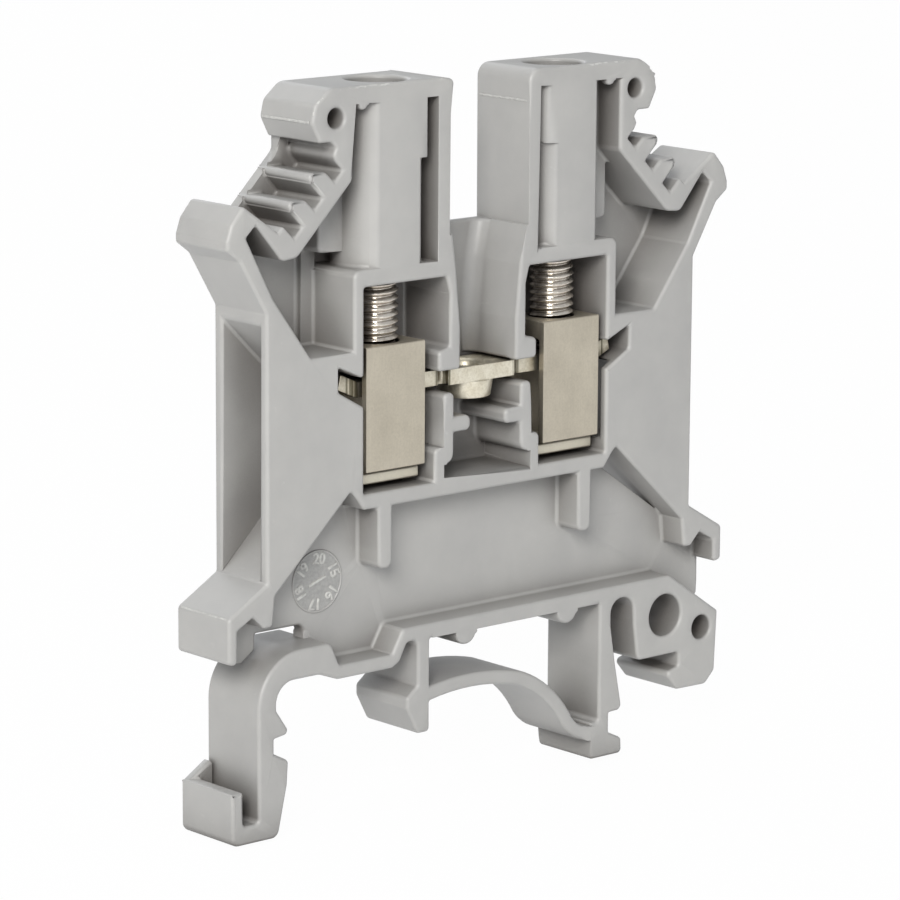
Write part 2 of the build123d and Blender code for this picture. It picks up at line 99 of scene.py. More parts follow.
# How much of the white background the surfaces reflect, and how white the camera sees the floor
MIRRORED_SKY = 0.35
MIRRORED_FLOOR = 0.5
FLOOR_WHITE = 0.975


class Shade:
    """A shader socket that takes part in Python expressions, each of which adds its Math node."""

    def __init__(self, tree, socket):
        self.tree = tree
        self.socket = socket

    def math(self, operation, *values):
        """Adds a Math node with this operation and these values, and returns its output."""
        node = self.tree.nodes.new("ShaderNodeMath")
        node.operation = operation
        for slot, value in zip(node.inputs, values):
            if isinstance(value, Shade):
                self.tree.links.new(value.socket, slot)
            else:
                slot.default_value = value
        return Shade(self.tree, node.outputs[0])

    def __add__(self, other):
        return self.math("ADD", self, other)

    def __radd__(self, other):
        return self.math("ADD", other, self)

    def __sub__(self, other):
        return self.math("SUBTRACT", self, other)

    def __rsub__(self, other):
        return self.math("SUBTRACT", other, self)

    def __mul__(self, other):
        return self.math("MULTIPLY", self, other)

    def __rmul__(self, other):
        return self.math("MULTIPLY", other, self)

    def __truediv__(self, other):
        return self.math("DIVIDE", self, other)

    def __rtruediv__(self, other):
        return self.math("DIVIDE", other, self)

    def __abs__(self):
        return self.math("ABSOLUTE", self)

    def clamp(self):
        """The value held between 0 and 1."""
        return self.math("MINIMUM", self.math("MAXIMUM", self, 0.0), 1.0)

    def step(self, low, high):
        """0 below low, 1 above high, and a straight ramp between them."""
        return ((self - low) / (high - low)).clamp()


class Nodes:
    """A node tree being built, and the one way in which nodes are added to it."""

    def __init__(self, tree):
        self.tree = tree

    def add(self, kind, settings=None, out=0, **sockets):
        """Adds a node of this type with its settings, feeds its sockets and returns one output.

        A socket is named in lower or upper case with underscores for spaces, or by _ and its number.
        """
        node = self.tree.nodes.new(kind)
        for key, value in (settings or {}).items():
            setattr(node, key, value)
        for name, value in sockets.items():
            self.feed(node, name, value)
        return Shade(self.tree, node.outputs[out])

    def feed(self, node, name, value):
        """Links or sets one input socket of a node."""
        slot = self.slot(node, name)
        if isinstance(value, Shade):
            self.tree.links.new(value.socket, slot)
        else:
            slot.default_value = value

    def slot(self, node, name):
        """The enabled input socket with this name or number."""
        if name[0] == "_":
            return node.inputs[int(name[1:])]
        wanted = name.replace("_", " ").lower()
        for slot in node.inputs:
            if slot.enabled and slot.name.lower() == wanted:
                return slot
        raise KeyError(f"{node.bl_idname} has no input {name}")

    def blend(self, factor, first, second):
        """Colour between first and second by the factor."""
        return self.add(
            "ShaderNodeMix",
            {"data_type": "RGBA", "blend_type": "MIX"},
            out=2,
            Factor=factor,
            A=first,
            B=second,
        )

    def white_rays(self, mirrored):
        """1 for rays from the camera, also through a part, mirrored for reflected ones, and else 0."""
        kinds = ("Is Camera Ray", "Is Glossy Ray", "Is Transmission Ray")
        camera, glossy, through = (self.add("ShaderNodeLightPath", out=kind) for kind in kinds)
        return (camera + glossy * mirrored + through).clamp()


class Finish(Nodes):
    """A material being built: its nodes and its surface shader."""

    def __init__(self, name):
        self.material = bpy.data.materials.new(name)
        self.material.use_nodes = True
        super().__init__(self.material.node_tree)
        self.surface = self.tree.nodes["Principled BSDF"]
        self.place = self.add("ShaderNodeTexCoord", out="Object")

    def noise(self, scale, detail, roughness, place=None):
        """Smooth noise, with scale in features per metre, or in features per unit of a given place."""
        return self.add(
            "ShaderNodeTexNoise",
            out="Fac",
            Vector=place or self.place,
            Scale=scale,
            Detail=detail,
            Roughness=roughness,
        )

    def crevice(self, reach):
        """Share of painted shade: 0 in the open, up to 1 where other surfaces stand round within this
        distance.
        """
        sky = self.add("ShaderNodeAmbientOcclusion", {"samples": 8}, out="AO", Distance=reach)
        return (1.0 - sky).step(0.2, 0.95)

    def stretched(self, x, y, z):
        """The object's own coordinates times a number for each axis."""
        return self.add("ShaderNodeMapping", Vector=self.place, Scale=(x, y, z))

    def axis(self, letter):
        """The object's own X, Y or Z."""
        return self.add("ShaderNodeSeparateXYZ", out=letter, Vector=self.place)

    def set(self, **sockets):
        """Feeds the surface shader's sockets, with links or constants."""
        for name, value in sockets.items():
            self.feed(self.surface, name, value)

    def bump(self, height, distance, strength):
        """Feeds the surface's normal from a height, in metres of relief."""
        self.set(Normal=self.add("ShaderNodeBump", Strength=strength, Distance=distance, Height=height))


def srgb(red, green, blue):
    """Linear colour from the 0 to 255 values that a picture shows."""
    def linear(value):
        value /= 255
        return value / 12.92 if value <= 0.04045 else ((value + 0.055) / 1.055) ** 2.4

    return (linear(red), linear(green), linear(blue), 1.0)


def moulded_plastic(props):
    """Grey polyamide: soft sheen, faint flow clouds, rare pale scuffs, a fine grain and painted shade in
    pockets.
    """
    finish = Finish("moulded_polyamide")
    flow = finish.noise(1.0, 3.0, 0.55, finish.stretched(90.0, 90.0, 45.0))
    cloud = finish.noise(420.0, 4.0, 0.6)
    grain = finish.noise(5200.0, 3.0, 0.6)
    scuff = finish.noise(1.0, 4.0, 0.7, finish.stretched(1500.0, 400.0, 900.0)).step(0.66, 0.74)
    tone = (0.6 * flow + 0.4 * cloud).step(0.36, 0.64)
    body = finish.blend(tone, props.plastic_dark, props.plastic_light)
    marked = finish.blend(0.25 * scuff, body, props.plastic_scuff)
    # Painted shade: the colour darkens towards a shade tone deep in the pockets.
    colour = finish.blend(finish.crevice(4.6 * MM), marked, props.plastic_crevice)
    finish.set(
        Base_Color=colour,
        Roughness=0.34 + 0.12 * cloud + 0.10 * scuff,
        IOR=1.53,
    )
    finish.bump(grain * 0.25 + cloud * 0.55 + flow * 0.2, 0.00003, 0.4)
    return finish.material


def moulded_flash(props):
    """Thin, paler, rougher plastic squeezed out along the mould's parting lines; on the dial's figures,
    painted highlight.
    """
    finish = Finish("moulded_flash")
    ragged = finish.noise(3000.0, 3.0, 0.6)
    finish.set(
        Base_Color=finish.blend(ragged.step(0.35, 0.65), props.plastic_light, props.plastic_scuff),
        Roughness=0.45 + 0.2 * ragged,
        IOR=1.53,
    )
    return finish.material


def dial_ground(props):
    """The dial's ground, spark-eroded in the mould: a little darker and mottled."""
    finish = Finish("dial_ground")
    mottle = finish.noise(5200.0, 4.0, 0.7)
    colour = finish.blend(mottle.step(0.35, 0.65), props.plastic_dial, props.plastic_dark)
    finish.set(Base_Color=colour, Roughness=0.5, IOR=1.53)
    finish.bump(mottle, 0.00003, 0.5)
    return finish.material


def plated_sheet(props):
    """Zinc-plated sheet steel of the sleeves: satin, warm, fine speckle of rolled stock, painted shade near
    other parts.
    """
    finish = Finish("plated_sheet")
    z = finish.axis("Z")
    cloud = finish.noise(380.0, 4.0, 0.6)
    speck = finish.noise(7000.0, 3.0, 0.7)
    rolled = finish.noise(1.0, 3.0, 0.6, finish.stretched(9000.0, 9000.0, 900.0))
    tone = (0.45 * cloud + 0.4 * speck + 0.15 * rolled).step(0.36, 0.64)
    faced = finish.blend(tone, props.sheet_dark, props.sheet_light)
    blur = 0.02 * MM
    # Below the foot's height the sheet is lightened towards the bar's light tone.
    lightened = 1.0 - z.step(props.foot_height - blur, props.foot_height + blur)
    foot_lightened = finish.blend(lightened * (0.6 + 0.4 * speck), faced, props.bar_light)
    # Painted shade where other parts stand close to the sleeve.
    colour = finish.blend(0.9 * finish.crevice(2.2 * MM), foot_lightened, props.metal_crevice)
    finish.set(Base_Color=colour, Roughness=0.42 + 0.14 * speck, Metallic=0.85)
    finish.bump(speck * 0.6 + rolled * 0.4, 0.00001, 0.45)
    return finish.material


def plated_bar(props):
    """Tinned copper alloy of the current bar: bright, blanking-cut edges, upright ridges in the notches,
    painted shade between them and near other parts.
    """
    finish = Finish("plated_bar")
    reach = abs(finish.axis("X"))
    cloud = finish.noise(900.0, 4.0, 0.65)
    speck = finish.noise(5200.0, 3.0, 0.75)
    ridge = finish.noise(1.0, 1.0, 0.4, finish.stretched(7800.0, 7800.0, 120.0))
    blur = 0.08 * MM
    # Bands at the notches and bends that carry the ridges and the painted shade between them.
    marked = sum(
        1.0 - abs(reach - middle).step(half - blur, half + blur)
        for middle, half in ((props.notch_place, 0.5 * MM), (props.bend_place, 0.55 * MM))
    )
    tone = (0.55 * cloud + 0.45 * speck).step(0.38, 0.62)
    plain = finish.blend(tone, props.bar_dark, props.bar_light)
    # Real upright ridges, as a bump, with painted shade in the bar's ridge tone between them.
    ridged = finish.blend(marked * ridge.step(0.38, 0.55) * 0.8, plain, props.bar_ridge)
    # Painted shade where other parts stand close to the bar.
    colour = finish.blend(0.85 * finish.crevice(1.6 * MM), ridged, props.metal_crevice)
    finish.set(Base_Color=colour, Roughness=0.26 + 0.22 * speck, Metallic=0.9)
    finish.bump(cloud * 0.35 + speck * 0.4 + marked * ridge, 0.00003, 0.6)
    return finish.material


def plated_screw(props):
    """Bright zinc plating of the screws, with painted shade in the roots of the thread and near other parts.
    """
    finish = Finish("plated_screw")
    cloud = finish.noise(900.0, 3.0, 0.6)
    speck = finish.noise(6000.0, 3.0, 0.7)
    tone = (0.6 * cloud + 0.4 * speck).step(0.36, 0.64)
    plain = finish.blend(tone, props.screw_dark, props.screw_light)
    # Painted shade in the thread's roots and where other parts stand close.
    deep = (finish.crevice(1.5 * MM) + 0.8 * finish.crevice(0.4 * MM)).clamp()
    colour = finish.blend(deep, plain, props.metal_crevice)
    finish.set(Base_Color=colour, Roughness=0.16 + 0.14 * cloud, Metallic=0.95)
    finish.bump(speck, 0.000008, 0.4)
    return finish.material


def rounded_mesh(node, name, width, angle=35.0, segments=3, reshape=None):
    """A copy of a CAD node's mesh with its sharp edges rounded by this width.

    The flat faces are joined before the rounding, so that it has the same width all along, and are
    divided again after it. Where a corner is tighter than the rounding, a face's new outline crosses
    itself in a tiny loop, which the Delaunay division copes with. Edges that meet at a step smaller
    than the rounding get a narrow one of their own. No vertex leaves the box of the node's mesh.
    """
    shape = bmesh.new()
    shape.from_mesh(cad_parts[node].data)
    bmesh.ops.remove_doubles(shape, verts=shape.verts, dist=0.001 * MM)
    low, high = (Vector(limit(v.co[axis] for v in shape.verts) for axis in range(3)) for limit in (min, max))
    if reshape:
        for vert in shape.verts:
            vert.co = reshape(vert.co)
    bmesh.ops.dissolve_limit(
        shape, angle_limit=FLAT_TURN, verts=shape.verts, edges=shape.edges, use_dissolve_boundaries=False,
    )
    sharp = sharp_edges(shape, angle)
    crowded = {vert for edge in sharp if is_step(edge, sharp, width) for vert in edge.verts}
    roomy = [edge for edge in sharp if not crowded.intersection(edge.verts)]
    round_edges(shape, roomy, width, segments)
    round_edges(shape, list(sharp_edges(shape, LEFT_SHARP)), width * NARROW_SHARE, 1)
    for face in [face for face in shape.faces if len(face.verts) > MOST_CORNERS]:
        divide(shape, face)
    for vert in shape.verts:
        vert.co = [min(max(value, least), most) for value, least, most in zip(vert.co, low, high)]
    for face in shape.faces:
        face.smooth = True
    mesh = bpy.data.meshes.new(name)
    shape.to_mesh(mesh)
    shape.free()
    return mesh


def sharp_edges(shape, angle):
    """The edges at which the surface turns by more than this many degrees."""
    limit = math.radians(angle)
    return {e for e in shape.edges if len(e.link_faces) == 2 and e.calc_face_angle() > limit}


def is_step(edge, sharp, width):
    """Whether a sharp edge is too short for the rounding, and the sharp edges turn at an end of it."""
    room_for_both_ends, straight_on = 1.6, -0.75
    if edge.calc_length() > width * room_for_both_ends:
        return False
    for vert in edge.verts:
        along = (edge.other_vert(vert).co - vert.co).normalized()
        for other in vert.link_edges:
            if other is edge or other not in sharp:
                continue
            turn = along.dot((other.other_vert(vert).co - vert.co).normalized())
            if turn > straight_on:
                return True
    return False


def round_edges(shape, edges, width, segments):
    """Rounds these edges of a mesh."""
    bmesh.ops.bevel(
        shape, geom=edges, offset=width, offset_type="OFFSET", segments=segments, profile=0.5,
        affect="EDGES", clamp_overlap=False, loop_slide=False,
    )


def turns_round(outline, x, y):
    """How many times an outline runs round a place: 0 outside it and in its holes."""
    turns = 0
    for (x0, y0), (x1, y1) in zip(outline, outline[1:] + outline[:1]):
        if (y0 > y) != (y1 > y) and x0 + (x1 - x0) * (y - y0) / (y1 - y0) > x:
            turns += 1 if y1 > y0 else -1
    return turns


def divide(shape, face):
    """Replaces a flat many-sided face by triangles, and leaves its holes open.

    The face's outline runs into its holes and back along a seam. Triangles inside the outline keep
    the face's corners, and get a new one wherever the outline crosses itself.
    """
    normal = face.normal.copy()
    across = normal.orthogonal().normalized()
    up = normal.cross(across)
    corners = list(face.verts)
    origin = corners[0].co.copy()
    spots = [((v.co - origin).dot(across) / MM, (v.co - origin).dot(up) / MM) for v in corners]
    outline = [list(range(len(spots)))]
    inside_only, tolerance = 1, 1e-5
    made = delaunay_2d_cdt([Vector(spot) for spot in spots], [], outline, inside_only, tolerance)
    places, triangles, sources = made[0], made[2], made[3]
    verts = []
    for place, source in zip(places, sources):
        if source:
            verts.append(corners[source[0]])
        else:
            verts.append(shape.verts.new(origin + (across * place.x + up * place.y) * MM))
    bmesh.ops.delete(shape, geom=[face], context="FACES_ONLY")
    for triangle in triangles:
        trio = [verts[number] for number in triangle]
        middle = sum((places[number] for number in triangle), Vector((0.0, 0.0))) / 3
        if len(set(trio)) < 3 or shape.faces.get(trio) or not turns_round(spots, *middle):
            continue
        shape.faces.new(trio)


def weigh_normals(part):
    """Shades an object so that its large flat faces look flat and its roundings soft."""
    weigh = part.modifiers.new("flat_faces", "WEIGHTED_NORMAL")
    weigh.mode = "FACE_AREA"
    weigh.weight = 50
    weigh.keep_sharp = False


def piece(name, mesh, material, body):
    """Makes a mesh into a new piece that rides on a body."""
    item = bpy.data.objects.new(name, mesh)
    item.data.materials.append(material)
    bpy.context.collection.objects.link(item)
    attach(item, body)
    return item


def mesh_of(name, points, faces, smooth=()):
    """A mesh from its points and faces, smooth on the faces counted in smooth."""
    mesh = bpy.data.meshes.new(name)
    mesh.from_pydata([tuple(point) for point in points], [], faces)
    for number in smooth:
        mesh.polygons[number].use_smooth = True
    mesh.update()
    return mesh


def around(centre, radius, angle, z):
    """The point at this radius, angle and height round an upright axis."""
    return (centre[0] + radius * math.cos(angle), centre[1] + radius * math.sin(angle), z)


def thread(points, faces, centre, low, high, inner, outer, pitch, steps=40):
    """Adds a screw thread's surface round an upright axis, between two heights.

    Each turn has a crest and a root with flanks between them. Rows of points climb with the turn, so
    that the row one pitch up begins where the row below ends. The turns begin below the low height
    and end above the high one, and what lies outside them is flattened and left out.
    """
    fillet = inner + 0.04 * MM
    profile = ((0.0, outer), (0.09, outer), (0.42, fillet), (0.55, inner), (0.67, fillet))
    turns_below, turns_spare = 1.5, 3
    turns = int((high - low) / pitch) + turns_spare
    start = len(points)
    for turn in range(turns):
        for phase, radius in profile:
            for step in range(steps):
                z = low + (turn - turns_below + phase + step / steps) * pitch
                points.append(around(centre, radius, math.tau * step / steps, min(max(z, low), high)))
    rows = turns * len(profile)
    for row in range(rows - len(profile) - 1):
        for step in range(steps):
            after = row if step + 1 < steps else row + len(profile)
            ring = [row * steps + step, after * steps + (step + 1) % steps]
            ring += [ring[1] + steps, ring[0] + steps]
            heights = {points[start + number][2] for number in ring}
            if len(heights) > 1:
                faces.append([start + number for number in ring])


def lathe(points, faces, centre, profile, steps=40):
    """Adds a turned surface round an upright axis, from radius and height pairs, closed at radius 0."""
    rings = []
    for radius, z in profile:
        if radius == 0:
            rings.append([len(points)] * steps)
            points.append((centre[0], centre[1], z))
            continue
        rings.append(list(range(len(points), len(points) + steps)))
        points += [around(centre, radius, math.tau * step / steps, z) for step in range(steps)]
    for below, above in zip(rings, rings[1:]):
        for step in range(steps):
            after = (step + 1) % steps
            corners = [below[step], below[after], above[after], above[step]]
            faces.append([n for k, n in enumerate(corners) if n not in corners[:k]])


def slotted_head(points, faces, centre, radius, low, floor, high, slot, steps=18):
    """Adds a round screw head from its underside to its top, with a slot along X down to its floor."""
    corner = math.asin(slot / 2 / radius)
    arcs = []
    for side in (0, 1):
        first = math.pi * side + corner
        arcs.append([first + (math.pi - 2 * corner) * n / steps for n in range(steps + 1)])

    def ring(angles, z):
        """Adds points at these angles and this height, and returns their numbers."""
        first = len(points)
        points.extend(around(centre, radius, angle, z) for angle in angles)
        return list(range(first, len(points)))

    base = [ring(arc, low) for arc in arcs]
    top = [ring(arc, high) for arc in arcs]
    ends = [ring((arc[0], arc[-1]), floor) for arc in arcs]
    for lower, upper, (first, last) in zip(base, top, ends):
        for n in range(steps):
            wall = [lower[n], lower[n + 1], upper[n + 1], upper[n]]
            if n == 0:
                wall.append(first)
            if n == steps - 1:
                wall.insert(2, last)
            faces.append(wall)
        faces.append(list(upper))
        faces.append([last, first, upper[0], upper[-1]])
    for one, other in ((0, 1), (1, 0)):
        faces.append([base[one][-1], base[other][0], ends[other][0], ends[one][1]])
    faces.append([ends[0][0], ends[0][1], ends[1][0], ends[1][1]])
    faces.append([number for part in reversed(base) for number in reversed(part)])


def ridge(points, faces, start, end, out, width, height, wobble, chance, steps=48):
    """Adds a low uneven ridge of flash between two places, standing out of a face."""
    start, end, out = Vector(start), Vector(end), Vector(out)
    across = (end - start).normalized().cross(out)
    base = len(points)
    for n in range(steps + 1):
        spot = start.lerp(end, n / steps) + across * chance.uniform(-wobble, wobble)
        rise = height * chance.uniform(*RIDGE_HEIGHTS)
        if n in (0, steps):
            rise *= RIDGE_END
        for side, level in RIDGE_SECTION:
            points.append(spot + across * width * side + out * rise * level)
    row = len(RIDGE_SECTION)
    for n in range(steps):
        for side in range(row - 1):
            a = base + row * n + side
            faces.append([a, a + 1, a + row + 1, a + row])
    faces.append([base + side for side in reversed(range(row))])
    faces.append([base + row * steps + side for side in range(row)])


def tone(name, description, colour):
    """A colour that a user may change."""
    return bpy.props.FloatVectorProperty(
        name=name, description=description, subtype="COLOR", size=4, min=0.0, max=1.0, default=srgb(*colour),
    )


def span(name, description, millimetres):
    """A length that a user may change, given in millimetres."""
    return bpy.props.FloatProperty(
        name=name, description=description, unit="LENGTH", precision=5, default=millimetres * MM,
    )


def power(name, description, watts):
    """A lamp's power that a user may change."""
    return bpy.props.FloatProperty(
        name=name, description=description, unit="POWER", min=0.0, default=watts,
    )


class FinishSizes(bpy.types.PropertyGroup):
    """Colours of the materials, and the places that they depend on."""

    plastic_light: tone("Plastic light", "Lighter tone of the housing", (178, 177, 174))
    plastic_dark: tone("Plastic dark", "Darker tone of the housing", (168, 167, 165))
    plastic_scuff: tone("Plastic scuff", "Tone of the housing's fine scuffs", (200, 200, 196))
    plastic_dial: tone("Plastic dial", "Darker tone of the dial's ground", (150, 150, 148))
    # Painted shade: the tone that the housing's colour turns to deep in its pockets.
    plastic_crevice: tone("Plastic crevice", "Tone of the housing deep in its pockets", (86, 81, 77))
    sheet_light: tone("Sheet light", "Lighter tone of the clamp sleeves", (210, 202, 185))
    sheet_dark: tone("Sheet dark", "Darker tone of the clamp sleeves", (190, 182, 166))
    bar_light: tone("Bar light", "Lighter tone of the current bar", (246, 240, 222))
    bar_dark: tone("Bar dark", "Darker tone of the current bar", (212, 203, 180))
    # Partly painted shade: the dark tone between the bumped ridges of the bar's notches and bends.
    bar_ridge: tone("Bar ridges", "Tone between the ridges of the bar's notches", (92, 88, 66))
    screw_light: tone("Screw light", "Lighter tone of the screws", (244, 238, 228))
    screw_dark: tone("Screw dark", "Darker tone of the screws", (206, 196, 184))
    # Painted shade: the tone that the metal parts turn to deep between other parts.
    metal_crevice: tone("Metal crevice", "Tone of the metal deep between other parts", (58, 46, 36))
    notch_place: span("Notch place", "Distance of the bar's notches from its middle", 3.07)
    bend_place: span("Bend place", "Distance of the bar's ridged bends from its middle", 10.45)
    # Below this height the sleeves are lightened towards the bar's light tone.
    foot_height: span("Foot height", "Height of the blanked edge of the sleeve's foot", 22.1)


class HousingSizes(bpy.types.PropertyGroup):
    """Sizes of the housing's looks."""

    edge_width: span("Edge width", "Width of the rounding on the moulding's edges", 0.24)
    seam_height: span("Seam height", "Height of the flash along the mould's parting lines", 0.09)
    seam_width: span("Seam width", "Width of the flash along the mould's parting lines", 0.19)
    nose_seam: span("Nose seam", "Height of the parting line on the marker holders", 44.75)
    flange_seam: span("Flange seam", "Height of the flash on the flanges' edges", 14.57)
    nose_reach: span("Nose reach", "Distance of the marker holders' tips from the middle", 14.6)
    valley_reach: span("Valley reach", "Distance of the valley's walls from the middle", 3.35)
    lip_radius: span("Lip radius", "Radius of the rounded lips on the ribs", 0.33)
    lip_pitch: span("Lip pitch", "Step between two ribs, both along the block and down", 1.605)
    lip_x: span("Lip x", "Distance of the upper rib's lip from the middle", 14.46)
    lip_z: span("Lip z", "Height of the upper rib's lip", 41.35)


class DialSizes(bpy.types.PropertyGroup):
    """Sizes of the dial that the mould leaves on the web."""

    place_x: span("Dial x", "Where the dial's middle is along the block", -12.5)
    place_z: span("Dial z", "Height of the dial's middle", 15.4)
    depth: span("Dial depth", "Distance of the dial's ground from the open face", 2.1)
    radius: span("Dial radius", "Radius of the dial's ring", 1.97)
    relief: span("Dial relief", "Height of the dial's figures", 0.065)
    figure_height: span("Figure height", "Height of a figure on the dial", 0.72)


class ClampSizes(bpy.types.PropertyGroup):
    """Sizes of the screws, the threads and the metal edges."""

    pitch: span("Pitch", "Rise of the screw's thread in one turn", 0.5)
    root_radius: span("Root radius", "Radius at the root of the screw's thread", 1.2)
    crest_radius: span("Crest radius", "Radius at the crest of the screw's thread", 1.46)
    head_height: span("Head height", "Height of the screw's head", 2.2)
    slot_width: span("Slot width", "Width of the slot in the screw's head", 0.7)
    slot_depth: span("Slot depth", "Depth of the slot in the screw's head", 1.1)
    metal_edge: span("Metal edge", "Width of the rounding on the metal parts' edges", 0.09)
    sleeve_bend: span("Sleeve bend", "Radius of the sleeve's bend in the solid part", 0.6)
    bridge_radius: span("Bridge radius", "Radius of the hole for the bridging screw", 1.25)
    bridge_depth: span("Bridge depth", "Depth of the thread for the bridging screw", 1.8)


class StageSizes(bpy.types.PropertyGroup):
    """Levels of the studio."""

    key_power: power("Key power", "Power of the main lamp", 3.8)
    front_power: power("Front power", "Power of the lamp in front", 0.45)
    top_power: power("Top power", "Power of the lamp above", 1.25)
    back_power: power("Back power", "Power of the lamp behind", 1.1)
    world_level: bpy.props.FloatProperty(
        name="World level", description="Strength of the surrounding light", min=0.0, default=0.28,
    )


class BLOCK_OT_housing(bpy.types.Operator):
    """Dress the moulded housing and round its edges"""

    bl_idname = "block.housing"
    bl_label = "Housing"

    def execute(self, context):
        scene = context.scene
        plastic = moulded_plastic(scene.block_finish)
        mesh = rounded_mesh("housing", "moulded_housing", scene.block_housing.edge_width)
        housing = piece("moulded_housing", mesh, plastic, "housing")
        weigh_normals(housing)
        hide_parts("housing")
        return {"FINISHED"}


class BLOCK_OT_seams(bpy.types.Operator):
    """Add the flash that the mould's parting lines leave on the housing"""

    bl_idname = "block.seams"
    bl_label = "Parting lines"

    def execute(self, context):
        sizes = context.scene.block_housing
        chance = random.Random(7)
        points, faces = [], []
        box_low, box_high = HOUSING_BOX
        end_gap, edge_gap, brow_gap = 0.3 * MM, 0.085 * MM, 0.1 * MM
        front, back = box_low[1] + end_gap, box_high[1] - end_gap
        width, height = sizes.seam_width, sizes.seam_height
        faint = 0.8
        upright = (
            (-sizes.nose_reach, -1, 1.0),
            (-sizes.valley_reach, 1, faint),
            (sizes.valley_reach, -1, faint),
        )
        for x, side, scale in upright:
            start, end = ((x, y, sizes.nose_seam) for y in (front, back))
            out = (side, 0, 0)
            ridge(points, faces, start, end, out, width * scale, height * scale, 0.01 * MM, chance)
        for side, edge in ((-1, box_low[0]), (1, box_high[0])):
            start, end = ((edge - side * edge_gap, y, sizes.flange_seam) for y in (front, back))
            out = (FLANGE_SLOPE[0] * side, 0, FLANGE_SLOPE[1])
            ridge(points, faces, start, end, out, width * 0.85, height * faint, 0.015 * MM, chance)
            brow = [(side * x * MM, box_low[1] + brow_gap, z * MM) for x, z in BROW_MM]
            out = (0, -0.7, 0.7)
            for start, end in zip(brow, brow[1:]):
                ridge(points, faces, start, end, out, width, height * faint, 0.03 * MM, chance, steps=14)
        flash = moulded_flash(context.scene.block_finish)
        piece("parting_lines", mesh_of("parting_lines", points, faces), flash, "housing")
        return {"FINISHED"}


class BLOCK_OT_lips(bpy.types.Operator):
    """Add the rounded lips on the ribs of the marker holders"""

    bl_idname = "block.lips"
    bl_label = "Rib lips"

    def execute(self, context):
        sizes = context.scene.block_housing
        points, faces = [], []
        box_low, box_high = HOUSING_BOX
        radius, end_gap = sizes.lip_radius, 0.02 * MM
        low, high = box_low[1] + end_gap, box_high[1] - end_gap
        turns = (0, 0.5, 1.0, math.pi / 2)
        dome = [(radius * math.sin(a), radius * 0.5 * (1 - math.cos(a))) for a in turns]
        profile = [(r, low + rise) for r, rise in dome] + [(r, high - rise) for r, rise in reversed(dome)]
        for side in (-1, 1):
            for number in range(2):
                step = number * sizes.lip_pitch
                x, z = side * (sizes.lip_x + step), sizes.lip_z - step
                start = len(points)
                lathe(points, faces, (0.0, 0.0), profile, steps=20)
                points[start:] = [(x + a, height, z - b) for a, b, height in points[start:]]
        plastic = bpy.data.materials["moulded_polyamide"]
        mesh = mesh_of("rib_lips", points, faces, range(len(faces)))
        piece("rib_lips", mesh, plastic, "housing")
        return {"FINISHED"}


